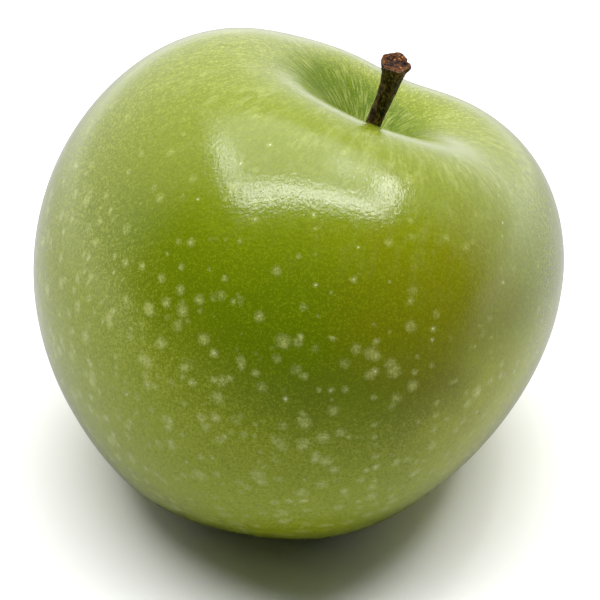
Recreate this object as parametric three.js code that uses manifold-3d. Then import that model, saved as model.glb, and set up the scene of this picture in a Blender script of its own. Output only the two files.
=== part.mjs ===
// A green apple, in millimetres, +Z up: the fruit, its stalk, and the dried calyx in the basin underneath.
// The fruit is shaped upright round its core, and then bends and leans as it grew. The origin is the middle
// of the apple's bounding box, at the level of the surface that its crown lobes rest on.
import * as THREE from 'three';
import { mergeVertices } from 'three/addons/utils/BufferGeometryUtils.js';
import Module from 'manifold-3d';

const radians = THREE.MathUtils.degToRad;

// Fruit: shares are of the radius, angles are in radians, and a longitude is measured from +X towards +Y.
const meanRadius = 38;
const shoulderFullness = 0.151;
const waistFullness = 0.035;
const stalkCavity = { depth: 0.396, reach: 0.376, steepness: 1.6 };
const calyxBasin = { depth: 0.32, reach: 0.34, steepness: 2 };
const fullSide = { share: 0.109, longitude: radians(213) };
const ovalWaist = { share: 0.025, longitude: radians(79) };
const threeCheeks = { share: 0.038, longitude: radians(31.5) };
const highShoulder = { share: 0.068, longitude: radians(-24) };
const saddle = { share: 0.048, longitude: radians(72), colatitude: 0.585, width: 0.405, height: 0.3 };
const fiveRibs = { longitude: radians(8.6) };
const shoulderRibs = { share: 0.008, fromPole: 0.6, spread: 0.4 };
const crownLobes = { share: 0.046, fromPole: 0.5, spread: 0.45 };

// Growth: the fruit bends along its height, from a level near its crown, and leans towards +X.
const bend = {
  angle: radians(16),
  longitude: radians(34),
  fromLevel: -0.9 * meanRadius,
  height: 1.75 * meanRadius,
};
const leanAngle = radians(6.1);

// Rest: how much of the lowest crown lobe is flattened, so that all five lobes touch the surface.
const restFlattening = 0.75;

// Every piece stands clear of the flesh by this much.
const gap = 0.3;

// Stalk: places are measured from the cavity's floor, and the growth direction there is the socket's too.
const stalkDirection = new THREE.Vector3(0.31, -0.14, 0.94).normalize();
const stalkRootDepth = 2.7;
const stalkRootHandle = 4.1;
const stalkTipHandle = new THREE.Vector3(3.8, -2.0, 10.0);
const stalkTip = new THREE.Vector3(4.6, -3.4, 16.6);
const stalkRadius = { root: 1, taper: 0.2, flare: 0.75, flarePower: 5 };
const stalkRim = { height: 0.18, share: 0.96, width: 0.04 };
const stalkRidges = { count: 5, share: 0.05 };
const scar = { rimShare: 0.86, dish: 0.45, innerShare: 0.45, innerHeight: 0.2 };
const spur = { reach: 0.45, longitude: radians(-22.5), width: 0.25 };

// Calyx: heights are measured outwards from the basin's pole.
const calyxCup = { radius: 2.9, foot: -1.2, rim: 0.9, wall: 0.9, floor: 0.2 };
const sepal = { count: 5, width: 3.1, tipWidth: 0.7, thickness: 0.7, cupping: 0.5 };
const sepalLine = [[2.4, 0.3], [2.8, 1.7], [2.2, 3.1], [1.7, 4.1], [2.9, 5.0]];
const stamen = { count: 8, radius: 0.35, ring: 1.1, height: 3.0 };

// Fineness of the facets
const fruitSides = 64;
const fruitRings = 40;
const ringCrowding = 0.35;
const stalkSides = 16;
const stalkRings = 22;
const cupSides = 20;
const sepalSteps = { across: 4, along: 8 };
const stamenSides = 6;

const wasm = await Module();
wasm.setup();

// A closed body made from a three.js geometry whose shared vertices are joined.
function bodyFrom(geometry) {
  const bare = geometry.clone();
  bare.deleteAttribute('normal');
  bare.deleteAttribute('uv');
  const joined = mergeVertices(bare);
  const corners = Array.from(joined.index.array);
  const faces = [];
  for (let i = 0; i < corners.length; i += 3) {
    const [a, b, c] = corners.slice(i, i + 3);
    if (a !== b && b !== c && c !== a) faces.push(a, b, c);
  }
  const vertProperties = joined.attributes.position.array;
  return new wasm.Manifold(new wasm.Mesh({ numProp: 3, vertProperties, triVerts: new Uint32Array(faces) }));
}

function geometryFrom(body) {
  const { vertProperties, triVerts } = body.getMesh();
  const geometry = new THREE.BufferGeometry();
  geometry.setAttribute('position', new THREE.BufferAttribute(vertProperties, 3));
  geometry.setIndex(new THREE.BufferAttribute(triVerts, 1));
  geometry.computeVertexNormals();
  return geometry;
}

// Every vertex of the geometry goes where the function puts it.
function moveVertices(geometry, place) {
  const position = geometry.attributes.position;
  for (let i = 0; i < position.count; i += 1) {
    const moved = place(new THREE.Vector3().fromBufferAttribute(position, i));
    position.setXYZ(i, moved.x, moved.y, moved.z);
  }
  return geometry;
}

// A bell curve: 1 at no distance, and falling off over the width.
function bell(distance, width, power = 2) {
  return Math.exp(-Math.pow(Math.abs(distance) / width, power));
}

// A regular swelling round the axis: one side, two sides, three cheeks or five ribs.
function swelling({ share, longitude }, count, at) {
  return share * Math.cos(count * (at - longitude));
}

// The distance from the core to the skin. Colatitude 0 is the stalk's end and pi is the calyx's.
function skinDistance(longitude, colatitude) {
  const across = Math.sin(colatitude);
  const along = Math.cos(colatitude);
  const fromCalyx = Math.PI - colatitude;
  const profile = 1 + shoulderFullness * along - waistFullness * Math.cos(2 * colatitude);
  const cavityFloor = 1 - stalkCavity.depth * bell(colatitude, stalkCavity.reach, stalkCavity.steepness);
  const basinFloor = 1 - calyxBasin.depth * bell(fromCalyx, calyxBasin.reach, calyxBasin.steepness);
  const ribs = shoulderRibs.share * bell(colatitude - shoulderRibs.fromPole, shoulderRibs.spread)
    + crownLobes.share * bell(fromCalyx - crownLobes.fromPole, crownLobes.spread);
  const sides = 1
    + across * swelling(fullSide, 1, longitude)
    + across * along * swelling(highShoulder, 1, longitude)
    + across * across * swelling(ovalWaist, 2, longitude)
    + across * across * swelling(threeCheeks, 3, longitude)
    + across * swelling({ share: ribs, longitude: fiveRibs.longitude }, 5, longitude);
  const fromSaddle = longitude - saddle.longitude;
  const aroundSaddle = bell(Math.atan2(Math.sin(fromSaddle), Math.cos(fromSaddle)), saddle.width);
  const alongSaddle = bell(colatitude - saddle.colatitude, saddle.height);
  const dip = 1 - saddle.share * aroundSaddle * alongSaddle;
  return meanRadius * profile * cavityFloor * basinFloor * sides * dip;
}

// Bends an upright point along the fruit's height by an even curve, and leans it.
function grow(point) {
  const curvature = bend.angle / bend.height;
  const turn = curvature * (point.z - bend.fromLevel);
  const cosine = Math.cos(bend.longitude);
  const sine = Math.sin(bend.longitude);
  const inward = point.x * cosine + point.y * sine;
  const sideways = point.y * cosine - point.x * sine;
  const bentInward = (1 - Math.cos(turn)) / curvature + inward * Math.cos(turn);
  const bentHeight = bend.fromLevel + Math.sin(turn) / curvature - inward * Math.sin(turn);
  return new THREE.Vector3(
    bentInward * cosine - sideways * sine,
    bentInward * sine + sideways * cosine,
    bentHeight,
  ).applyAxisAngle(new THREE.Vector3(0, 1, 0), leanAngle);
}

// The fruit before anything is cut: a sphere whose rings are closer together towards its two ends.
function fruitGeometry() {
  const sphere = new THREE.SphereGeometry(1, fruitSides, fruitRings).rotateX(Math.PI / 2);
  return moveVertices(sphere, (point) => {
    const even = Math.acos(THREE.MathUtils.clamp(point.z, -1, 1));
    const colatitude = even - ringCrowding * Math.sin(2 * even) / 2;
    const longitude = Math.atan2(point.y, point.x);
    const reach = skinDistance(longitude, colatitude);
    const across = Math.sin(colatitude);
    return grow(new THREE.Vector3(
      reach * across * Math.cos(longitude),
      reach * across * Math.sin(longitude),
      reach * Math.cos(colatitude),
    ));
  });
}

const cavityFloor = grow(new THREE.Vector3(0, 0, skinDistance(0, 0)));
const basinPole = -skinDistance(0, Math.PI);

// The stalk's middle line, from its root in the flesh, straight up the socket and over to its torn tip
const stalkLine = new THREE.CubicBezierCurve3(
  cavityFloor.clone().addScaledVector(stalkDirection, -stalkRootDepth),
  cavityFloor.clone().addScaledVector(stalkDirection, stalkRootHandle),
  cavityFloor.clone().add(stalkTipHandle),
  cavityFloor.clone().add(stalkTip),
);

// A plain hole for the stalk's root, open above the cavity's floor
function stalkSocket() {
  const radius = stalkRadius.root + gap;
  const depth = stalkRootDepth + gap;
  const socket = new THREE.CylinderGeometry(radius, radius, 2 * depth, stalkSides);
  const turn = new THREE.Quaternion().setFromUnitVectors(new THREE.Vector3(0, 1, 0), stalkDirection);
  return bodyFrom(socket.applyQuaternion(turn).translate(cavityFloor.x, cavityFloor.y, cavityFloor.z));
}

// A plain recess for the calyx, open below the basin's pole
function calyxRecess() {
  const radius = calyxCup.radius + gap;
  const top = basinPole - calyxCup.foot + gap;
  const depth = top - basinPole + calyxCup.radius;
  const recess = new THREE.CylinderGeometry(radius, radius, depth, cupSides).rotateX(Math.PI / 2);
  return bodyFrom(moveVertices(recess.translate(0, 0, top - depth / 2), grow));
}

function fruitBody(restLevel) {
  const ground = new THREE.BoxGeometry(4 * meanRadius, 4 * meanRadius, meanRadius);
  ground.translate(0, 0, restLevel - meanRadius / 2);
  return bodyFrom(fruitGeometry())
    .subtract(bodyFrom(ground))
    .subtract(stalkSocket())
    .subtract(calyxRecess());
}

// The stalk's radius at a share of its length, round a longitude of its own
function stalkThickness(share, longitude) {
  const { root, taper, flare, flarePower } = stalkRadius;
  const rim = stalkRim.height * bell(share - stalkRim.share, stalkRim.width);
  const round = root + taper * share + flare * Math.pow(share, flarePower) + rim;
  const ridged = 1 + stalkRidges.share * share * Math.cos(stalkRidges.count * longitude);
  const atSpur = bell(longitude - spur.longitude, spur.width) * bell(share - 1, stalkRim.width);
  return round * ridged + spur.reach * atSpur;
}

// The stalk: a unit profile turned round an upright axis, then thickened and carried along its middle line
function stalkBody() {
  const profile = [new THREE.Vector2(0, 0)];
  for (let ring = 0; ring <= stalkRings; ring += 1) profile.push(new THREE.Vector2(1, ring / stalkRings));
  const length = stalkLine.getLength();
  profile.push(new THREE.Vector2(scar.rimShare, 1 + scar.innerHeight / length));
  profile.push(new THREE.Vector2(scar.innerShare, 1 - scar.dish / length));
  profile.push(new THREE.Vector2(0, 1 - scar.dish / length));
  const lathe = new THREE.LatheGeometry(profile, stalkSides);
  return bodyFrom(moveVertices(lathe, (point) => {
    const share = Math.min(point.y, 1);
    const longitude = Math.atan2(-point.z, point.x);
    const reach = Math.hypot(point.x, point.z) * stalkThickness(share, longitude);
    const along = stalkLine.getTangentAt(share);
    const forwards = new THREE.Vector3(0, 1, 0).addScaledVector(along, -along.y).normalize();
    const rightwards = forwards.clone().cross(along);
    return stalkLine.getPointAt(share)
      .addScaledVector(along, (point.y - share) * length)
      .addScaledVector(rightwards, reach * Math.cos(longitude))
      .addScaledVector(forwards, reach * Math.sin(longitude));
  }));
}

// The cup that the sepals and the stamens stand on, open outwards
function calyxCupBody() {
  const { radius, foot, rim, wall, floor } = calyxCup;
  const bore = radius - wall;
  const profile = [[0, foot], [radius, foot], [radius, rim], [bore, rim], [bore, floor], [0, floor]];
  const cup = new THREE.LatheGeometry(profile.map(([x, y]) => new THREE.Vector2(x, y)), cupSides);
  return bodyFrom(cup.rotateX(-Math.PI / 2));
}

// One sepal: a box drawn into a blade along its middle line, narrowing to its tip and cupped inwards
function sepalBody(longitude) {
  const line = new THREE.SplineCurve(sepalLine.map(([reach, height]) => new THREE.Vector2(reach, height)));
  const blade = new THREE.BoxGeometry(1, 1, 1, sepalSteps.across, 1, sepalSteps.along);
  return bodyFrom(moveVertices(blade, (point) => {
    const share = point.z + 0.5;
    const middle = line.getPoint(share);
    const along = line.getTangent(share);
    const width = sepal.tipWidth + (sepal.width - sepal.tipWidth) * (1 - share * share);
    const inset = sepal.cupping * Math.pow(2 * point.x, 2) * (1 - share);
    const reach = middle.x + along.y * point.y * sepal.thickness - inset;
    const height = middle.y - along.x * point.y * sepal.thickness;
    return new THREE.Vector3(reach, point.x * width, -height);
  }).rotateZ(longitude));
}

function stamenBody(longitude) {
  const stub = new THREE.CylinderGeometry(stamen.radius, stamen.radius, stamen.height, stamenSides);
  return bodyFrom(stub.rotateX(Math.PI / 2).translate(stamen.ring, 0, -stamen.height / 2).rotateZ(longitude));
}

// The whole calyx in one body, set on the basin's pole and grown with the fruit
function calyxBody() {
  let calyx = calyxCupBody();
  for (let i = 0; i < sepal.count; i += 1) calyx = calyx.add(sepalBody(i * 2 * Math.PI / sepal.count));
  for (let i = 0; i < stamen.count; i += 1) calyx = calyx.add(stamenBody(i * 2 * Math.PI / stamen.count));
  return bodyFrom(moveVertices(geometryFrom(calyx), (point) => grow(point.setZ(point.z + basinPole))));
}

// A named mesh of one body, in its own colour
function meshOf(name, body, color, roughness) {
  const mesh = new THREE.Mesh(
    geometryFrom(body),
    new THREE.MeshStandardMaterial({ color, roughness, metalness: 0 }),
  );
  mesh.name = name;
  return mesh;
}

const uncut = bodyFrom(fruitGeometry()).boundingBox();
const restLevel = uncut.min[2] + restFlattening;

const apple = new THREE.Group();
apple.add(meshOf('fruit', fruitBody(restLevel), '#8fb02c', 0.35));
apple.add(meshOf('stem', stalkBody(), '#4a3421', 0.9));
apple.add(meshOf('calyx', calyxBody(), '#6f5d3d', 0.95));
apple.position.set(-(uncut.min[0] + uncut.max[0]) / 2, -(uncut.min[1] + uncut.max[1]) / 2, -restLevel);

export default apple;
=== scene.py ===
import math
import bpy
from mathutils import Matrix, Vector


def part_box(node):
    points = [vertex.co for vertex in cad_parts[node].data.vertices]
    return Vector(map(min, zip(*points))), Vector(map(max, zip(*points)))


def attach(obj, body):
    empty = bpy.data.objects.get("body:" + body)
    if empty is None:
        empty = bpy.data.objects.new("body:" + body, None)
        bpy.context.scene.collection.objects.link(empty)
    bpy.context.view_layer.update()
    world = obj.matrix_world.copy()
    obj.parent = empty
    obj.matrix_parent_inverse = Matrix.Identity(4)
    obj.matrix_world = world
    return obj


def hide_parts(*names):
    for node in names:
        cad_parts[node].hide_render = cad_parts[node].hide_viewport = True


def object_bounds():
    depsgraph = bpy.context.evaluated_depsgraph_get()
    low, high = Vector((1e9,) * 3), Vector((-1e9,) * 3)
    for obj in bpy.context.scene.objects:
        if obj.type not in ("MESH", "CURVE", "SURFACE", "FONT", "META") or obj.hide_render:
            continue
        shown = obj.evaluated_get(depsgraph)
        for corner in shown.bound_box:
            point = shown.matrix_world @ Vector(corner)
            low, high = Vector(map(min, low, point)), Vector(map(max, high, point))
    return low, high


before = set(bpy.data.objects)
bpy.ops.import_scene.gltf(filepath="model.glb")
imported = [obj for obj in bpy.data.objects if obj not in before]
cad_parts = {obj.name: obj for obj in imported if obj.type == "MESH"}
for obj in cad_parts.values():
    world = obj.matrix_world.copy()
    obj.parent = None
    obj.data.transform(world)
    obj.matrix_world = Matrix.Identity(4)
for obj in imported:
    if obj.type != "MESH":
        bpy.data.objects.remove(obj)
cad_low, cad_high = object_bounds()

# A green apple as it looks: waxy skin with lenticels and pale streaks, a barky stalk and a woolly calyx.
# Lengths are in metres and angles in radians. A longitude is measured from +X towards +Y, and a colatitude
# from the stalk's end of the core. A noise has its octaves and its roughness, and a pattern has the size of
# its features before them. A mask's pair is where it begins and where it is full.
from types import SimpleNamespace
import bpy
from mathutils import Vector

MM = 0.001

# The middle of the core, which every part of the fruit is measured from, before it bends and leans
CORE = Vector((0.2075, 2.0862, 27.2956)) * MM

# How the whole fruit bends and leans as it grows
GROWTH = {
    "Mean radius": 38 * MM,
    "Bend": math.radians(16),
    "Bend longitude": math.radians(34),
    "Bend from level": -0.9,
    "Bend height": 1.75,
    "Lean": math.radians(6.1),
}

# The fruit's driving dimensions; shares are of the radius
FRUIT = {
    **GROWTH,
    "Shoulder fullness": 0.151,
    "Waist fullness": 0.035,
    "Cavity depth": 0.396,
    "Cavity reach": 0.376,
    "Cavity steepness": 1.6,
    "Basin depth": 0.32,
    "Basin reach": 0.34,
    "Full side": 0.109,
    "Full side longitude": math.radians(213),
    "Oval waist": 0.025,
    "Oval waist longitude": math.radians(79),
    "Three cheeks": 0.038,
    "Three cheeks longitude": math.radians(31.5),
    "High shoulder": 0.068,
    "High shoulder longitude": math.radians(-24),
    "Saddle": 0.048,
    "Saddle longitude": math.radians(72),
    "Saddle colatitude": 0.585,
    "Saddle width": 0.405,
    "Saddle height": 0.3,
    "Ribs longitude": math.radians(8.6),
    "Shoulder ribs": 0.008,
    "Shoulder ribs from pole": 0.6,
    "Shoulder ribs spread": 0.4,
    "Crown lobes": 0.046,
    "Crown lobes from pole": 0.5,
    "Crown lobes spread": 0.45,
    "Undulation": 0.0035,
    "Undulation size": 0.45,
    "Rest flattening": 0.75 * MM,
}
OVAL_ENDS = 2.0
CHEEKS = 3.0
CARPELS = 5.0
UNDULATION_NOISE = (3.0, 0.5)
FRUIT_SIDES = 384
FRUIT_RINGS = 240
RING_CROWDING = 0.35

# The stalk: its middle line's four handles from the core, its thickness, and the relief of bark and scar
STALK_FLOOR = Vector((8.82, 4.18, 24.19)) * MM
STALK = {
    "Root": STALK_FLOOR + Vector((-0.84, 0.38, -2.54)) * MM,
    "Root handle": STALK_FLOOR + Vector((1.27, -0.57, 3.86)) * MM,
    "Tip handle": STALK_FLOOR + Vector((3.8, -2.0, 10.0)) * MM,
    "Tip": STALK_FLOOR + Vector((4.6, -3.4, 16.6)) * MM,
    "Root radius": 1.0 * MM,
    "Root closing": 0.985,
    "Taper": 0.2 * MM,
    "Flare": 0.75 * MM,
    "Flare power": 5.0,
    "Rim": 0.18 * MM,
    "Rim share": 0.96,
    "Rim width": 0.04,
    "Ridges": 0.05,
    "Ridge count": 5.0,
    "Spur": 0.45 * MM,
    "Spur longitude": math.radians(-22.5),
    "Spur width": 0.22,
    "Notch": 0.5 * MM,
    "Notch longitude": math.radians(12),
    "Notch width": 0.14,
    "Bark relief": 0.40 * MM,
    "Bark waves round": 2.6,
    "Bark waves along": 9.0,
    "Knobs relief": 0.22 * MM,
    "Knobs round": 1.3,
    "Knobs along": 14.0,
    "Scar edge": 4.0,
    "Scar dome": 0.8,
    "Scar dish": 0.45 * MM,
    "Scar dish rise": 0.6,
    "Scar relief": 1.10 * MM,
    "Scar crumbs round": 3.2,
    "Scar crumbs inwards": 0.6,
}
BARK_NOISE = (5.0, 0.62)
KNOBS_NOISE = (2.0, 0.5)
SCAR_NOISE = (4.0, 0.65)
STALK_SIDES = 128
STALK_RINGS = 260
STALK_LINE_STEPS = 48
SCAR_SHARE_OF_RINGS = 0.16

# The calyx: the sepals' line has its reach from the basin's axis in X, and its height outwards in Z
CALYX = {
    **GROWTH,
    "Pole": 21.03 * MM,
    "Foot": Vector((2.4, 0.0, 0.3)) * MM,
    "Foot handle": Vector((3.5, 0.0, 2.0)) * MM,
    "Tip handle": Vector((0.6, 0.0, 3.7)) * MM,
    "Tip": Vector((2.8, 0.0, 4.9)) * MM,
    "Sepal width": 3.1 * MM,
    "Tip width": 0.4 * MM,
    "Sepal thickness": 0.6 * MM,
    "Thinner tip": 0.6,
    "Thinner edges": 1.6,
    "Cupping": 0.5 * MM,
    "Crumple": 0.7 * MM,
    "Crumple size": 1.6 * MM,
    "Cup radius": 2.8 * MM,
    "Cup rim": 0.9 * MM,
    "Cup rim place": 0.35,
    "Cup rim width": 0.3,
    "Cup foot": 1.1 * MM,
    "Stamen ring": 1.2 * MM,
    "Stamen radius": 0.28 * MM,
    "Stamen height": 3.1 * MM,
    "Thread": 0.55,
    "Knob": 0.9,
    "Knob place": 0.93,
    "Knob width": 0.09,
    "Hair foot radius": 0.03 * MM,
    "Hair point radius": 0.012 * MM,
    "Hair length": 0.8 * MM,
    "Hairs per square metre": 6.0e6,
}
CRUMPLE_NOISE = (3.0, 0.6)
SEPALS = 5
SEPAL_TILT = 0.12
SEPAL_VERTICES = {"Vertices X": 3, "Vertices Y": 13, "Vertices Z": 31}
STAMENS = 14
STAMEN_TILT = 0.22
STAMEN_VERTICES = {"Vertices": 7, "Side Segments": 9}
CUP_SIDES = 40
CUP_RINGS = 24
HAIR_SIDES = 3
HAIR_LEAN = ((-0.6, -0.6, -0.9), (0.6, 0.6, 0.2))
HAIR_SCALE = ((1.0, 1.0, 0.35), (1.0, 1.0, 1.0))
SEEDS = {"sepals": 1, "stamens": 2, "hairs": 5, "hair lean": 6, "hair length": 7}

# The attribute in which a piece keeps where each of its points grew
GROWN = "grown"

# The colour sockets of a Mix node, by number, because it has others of the same names
MIX_SHARE = 0
MIX_LOW = 6
MIX_HIGH = 7
MIX_RESULT = 2

# The skin's ground colours
SHOULDER_GREEN = (0.182, 0.230, 0.002, 1.0)
# Paler towards the waist: partly the skin's own paler green, partly painted light from the white table below
WAIST_GREEN_AND_PAINTED_LIGHT = (0.318, 0.392, 0.002, 1.0)
# Deepest green, facing the viewer: partly the skin's own deep green, partly painted shade from the dark front
# of the room
DEEP_GREEN_AND_PAINTED_SHADE = (0.112, 0.170, 0.001, 1.0)
WARM_OLIVE = (0.198, 0.172, 0.003, 1.0)
# Painted light: a pale colour on the lower right of the viewer's half, standing in for the light that falls
# there
PAINTED_LIGHT_SIDE = (0.480, 0.520, 0.020, 1.0)
# The cavity's green: partly the skin's own deeper green, partly painted shade in the hollow
CAVITY_GREEN_AND_PAINTED_SHADE = (0.070, 0.122, 0.001, 1.0)

# The middles of the greenest patch, partly painted shade where the skin faces the dark front of the room, and
# of the olive patch, from the core
FRONT = Vector((0.06, -0.86, 0.50)).normalized()
SUNNY = Vector((0.50, -0.75, 0.43)).normalized()

# Where the skin's regions and patches lie, and how strongly they colour the ground
SMALLEST_RING = 0.02
MOTTLE = (9.0 * MM, 4.0, 0.6)
MOTTLED_EDGE = 0.4
LOW_HALF = (0.85, 1.50)
WAIST = (1.0, 1.9)
SHOULDER = (1.15, 0.5)
RIGHT_SIDE = (0.20, 0.70)
# The cavity's mask, and with it its painted shade, leans further down the left wall
CAVITY = (0.41, 0.24)
CAVITY_LEAN = 0.07
# The deepest green patch, partly painted shade, and what fades it out
DEEP_PATCH = (1.0, 0.30)
DEEP_PATCH_FADES = {"mottle": 0.5, "waist": 0.95, "upper": 0.75}
UPPER = (1.30, 0.80)
OLIVE_PATCH = (0.40, 0.02)
OLIVE_SHARE = 0.75
# Where the painted light on the lower right side lies, and how strongly it is painted
BELOW_SHOULDER = (1.00, 1.40)
FRONT_HALF = (0.45, -0.05)
PAINTED_LIGHT_SIDE_SHARE = 0.9

# The skin's pale streaks, which run down its meridians in patches
PALE_STREAK = (0.430, 0.460, 0.150, 1.0)
STREAKS = {"around": 22.0, "along": 14.0, "octaves": 4.0, "roughness": 0.7}
STREAK_EDGE = (0.44, 0.66)
STREAK_PATCHES = (5.0 * MM, 3.0, 0.5)
STREAK_PATCH_EDGE = (0.38, 0.62)
STREAK_LEAST = 0.25
STREAK_SHARE = 0.42
STREAKS_ADDED_IN_CAVITY = 0.5

# The skin's fine grain, drawn out into strokes on the shoulder
GRAIN_SIZE = 0.17 * MM
STROKES = {"around": 80.0, "along": 38.0, "octaves": 3.0, "roughness": 0.7}
STROKE_SHARE = 0.35
STROKES_LOST_IN_CAVITY = 0.7
PALE_GRAIN = (0.225, 0.295, 0.005, 1.0)
CHALKY_GRAIN = (0.480, 0.525, 0.070, 1.0)
CHALKY = (0.35, 0.9)
CHALK_LOST_IN_OLIVE = 0.6
PALE_FLECKS = (0.50, 0.59)
PALE_FLECK_SHARE = 0.70
PALE_FLECKS_LOST_AT_WAIST = 0.2
DEEP_GRAIN = (0.120, 0.175, 0.001, 1.0)
DEEP_FLECKS = (0.50, 0.39)
DEEP_FLECK_SHARE = 0.50

# The lenticels lie in layers, each with how far apart they are and their radius, and each shifted in space
LENTICEL_HALO = (0.560, 0.600, 0.190, 1.0)
LENTICEL_PALE = (0.700, 0.740, 0.420, 1.0)
LENTICEL_BROWN = (0.160, 0.080, 0.035, 1.0)
LENTICEL_LAYERS = ((3.0 * MM, 1.25 * MM), (2.6 * MM, 1.05 * MM), (2.0 * MM, 0.75 * MM))
LAYER_SHIFT = Vector((11, 23, 37)) * MM
LENTICELS_BEGIN = (0.5, 0.9)
LENTICEL_SHARES = {"upper": 0.17, "lower": 0.41, "right shoulder": 0.15}
LENTICEL_CLOTS = (0.40, 0.60)
HALO_STRENGTH = {"smooth": 0.28, "clotted": 0.60}
HALO_STRENGTH_ON_TOP = 0.38
LENTICEL_SIZE_ON_TOP = 0.75
BROWN_DOTS = {"everywhere": 0.15, "right": 0.70}
DOTLESS_NEAR_HALF = 0.14
DOT_SHARE = 0.6

# The skin's gloss: wax over fine pebbles, and duller in the cavity
PEBBLES = (0.7 * MM, 3.0, 0.65)
FINE_PEBBLES = (0.17 * MM, 3.0, 0.7)
FINE_PEBBLE_SHARE = 0.14
PEBBLE_DEPTH = 0.048 * MM
SKIN_ROUGHNESS = {"even": 0.24, "grain": 0.15, "cavity": 0.35}
WAX = {"even": 0.95, "lost in cavity": 0.92}

# The stalk's bark and its scar
# Near-black in the bark's grooves: partly the bark's own dark colour, partly painted shade
BARK_CREVICE_AND_SHADE = (0.008, 0.005, 0.003, 1.0)
BARK_RIDGE = (0.150, 0.085, 0.034, 1.0)
BARK_OLIVE = (0.070, 0.080, 0.018, 1.0)
BARK_FIBRE = (0.38, 0.25, 0.12, 1.0)
BARK_GRAIN_SIZE = 0.22 * MM
FIBRE_WIDTH = 0.28 * MM
FIBRE_LENGTH = 1.1 * MM
FIBRE_NOISE = (3.0, 0.65)
FIBRE_ON_RIDGE = 0.8
RIDGE_EDGE = (-0.14, 0.20)
OLIVE_SPOTS = (2.2 * MM, 2.0, 0.5)
OLIVE_SPOTS_EDGE = (0.48, 0.66)
OLIVE_SPOTS_SHARE = 0.4
PALE_FIBRES = (0.54, 0.72)
PALE_FIBRES_SHARE = 0.7
BARK_DEPTH = 0.10 * MM
BARK_ROUGHNESS = {"even": 0.72, "grain": 0.2}
# Near-black in the scar's pits: partly the torn wood's own dark colour, partly painted shade
SCAR_HOLE_AND_SHADE = (0.008, 0.003, 0.002, 1.0)
SCAR_WOOD = (0.120, 0.037, 0.009, 1.0)
SCAR_FLECK = (0.60, 0.290, 0.060, 1.0)
ON_SCAR = (0.98, 0.86)
SCAR_CRUMBS = (0.45 * MM, 2.0, 0.6)
SCAR_SURFACE_SHARE = 0.5
SCAR_HOLE_AND_SHADE_EDGE = (-0.12, 0.12)
SCAR_FLECKS = (0.34 * MM, 2.0, 0.6)
SCAR_FLECKS_EDGE = (0.57, 0.68)
SCAR_FLECKS_SHARE = 0.8

# The calyx's dry sepals and their wool
SEPAL_DARK = (0.060, 0.032, 0.014, 1.0)
SEPAL_BROWN = (0.190, 0.125, 0.060, 1.0)
SEPAL_WOOL = (0.36, 0.31, 0.21, 1.0)
SEPAL_GRAIN_SIZE = 0.25 * MM
SEPAL_PATCHES = (1.5 * MM, 2.0, 0.5)
SEPAL_PATCHES_EDGE = (0.35, 0.65)
WOOL_EDGE = (0.50, 0.68)
WOOL_SHARE = 0.7
SEPAL_DEPTH = 0.06 * MM
SEPAL_BUMP_STRENGTH = 0.8

# The viewer: level with the photograph, looking along +Y at the core
CAMERA_ELEVATION = math.radians(36)
CAMERA_DISTANCE = 0.450
NEAREST_SEEN = 0.01
SENSOR = 36.0
FOCAL_PIXELS = 3034.5
PICTURE_PIXELS = 600

# The light box: a panel overhead with a brighter rim on its front, left and right. Places and sizes are
# slopes from the upright, seen from the fruit's top, and a lamp's turn is in degrees.
PANEL_HEIGHT = 1.3
LAMPS = {
    "panel": {"place": (0.0, 0.39), "size": (1.40, 1.12), "turn": 0, "radiance": 2.2},
    "front_rim": {"place": (0.01, -0.13), "size": (1.26, 0.14), "turn": 4, "radiance": 15.0},
    "left_rim": {"place": (-0.62, 0.25), "size": (0.12, 0.60), "turn": 0, "radiance": 9.0},
    "right_rim": {"place": (0.66, 0.27), "size": (0.13, 0.46), "turn": 0, "radiance": 17.0},
    "tube": {"place": (0.34, 0.35), "size": (0.012, 0.36), "turn": -16, "radiance": 48.0},
}
LAMP_STEP = 4 * MM
ROOM_RADIANCE = 0.85
DARK_RADIANCE = 0.02
SEEN_RADIANCE = 1.02
BEHIND_APPLE = (-0.10, 0.30)
WHITE = (1.0, 1.0, 1.0, 1.0)

# The table is white, but the wax mirrors it dimly: in the mirror it carries a painted shadow near the apple,
# and painted shade, dimmer still, on the viewer's side
TABLE_REACH = 2.5
TABLE_WHITE = (0.62, 0.62, 0.62, 1.0)
TABLE_MIRRORED_SHADOW_NEAR = (0.34, 0.34, 0.34, 1.0)
TABLE_MIRRORED_WIDE = (0.62, 0.62, 0.62, 1.0)
TABLE_SPREAD = (0.15, 0.30)
TABLE_MIRRORED_SHADE_IN_FRONT = (0.04, 0.04, 0.04, 1.0)
TABLE_FADE = (-0.12, -0.01)
TABLE_AS_SEEN = (0.93, 0.93, 0.93, 1.0)


class Wire:
    """A value in a node tree. Sums and products of wires add the nodes that work them out."""

    def __init__(self, tree, socket):
        self.tree = tree
        self.socket = socket

    def __add__(self, other):
        return calculate("ADD", self, other)

    def __radd__(self, other):
        return calculate("ADD", other, self)

    def __sub__(self, other):
        return calculate("SUBTRACT", self, other)

    def __rsub__(self, other):
        return calculate("SUBTRACT", other, self)

    def __mul__(self, other):
        return calculate("MULTIPLY", self, other)

    def __rmul__(self, other):
        return calculate("MULTIPLY", other, self)

    def __truediv__(self, other):
        return calculate("DIVIDE", self, other)

    def __rtruediv__(self, other):
        return calculate("DIVIDE", other, self)

    def __neg__(self):
        return calculate("MULTIPLY", self, -1.0)


def add_node(tree, kind, inputs=(), **settings):
    """Adds a node, sets its properties, and joins or sets its inputs by name or number."""
    made = tree.nodes.new(kind)
    for name, value in settings.items():
        setattr(made, name, value)
    for key, value in dict(inputs).items():
        if isinstance(value, Wire):
            tree.links.new(value.socket, made.inputs[key])
        else:
            made.inputs[key].default_value = value
    return made


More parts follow.
